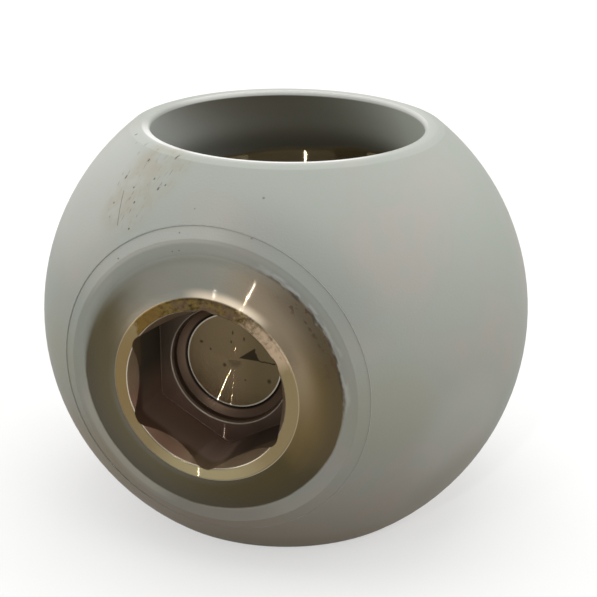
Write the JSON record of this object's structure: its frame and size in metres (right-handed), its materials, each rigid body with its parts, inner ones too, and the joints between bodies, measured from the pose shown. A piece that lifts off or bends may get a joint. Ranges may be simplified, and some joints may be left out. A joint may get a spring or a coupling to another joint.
{
  "type": "valve ball",
  "caption": "Turned and coated ball for a ball valve: straight flow bore, and a hexagonal stem socket in a domed boss.",
  "frame": {"origin": "centre of the sphere, on the axis of the flow bore", "axes": "+Z along the flow bore, -Y out of the stem socket, +X to the right as the socket faces the viewer"},
  "size_m": [0.0914, 0.086, 0.0724],
  "materials": {
    "coated_ball": "matt grey hard-facing on the sphere and the ends of the bore, bare turned steel round the stem socket"
  },
  "bodies": {
    "root": {"valve_ball": "coated_ball"}
  },
  "joints": []
}
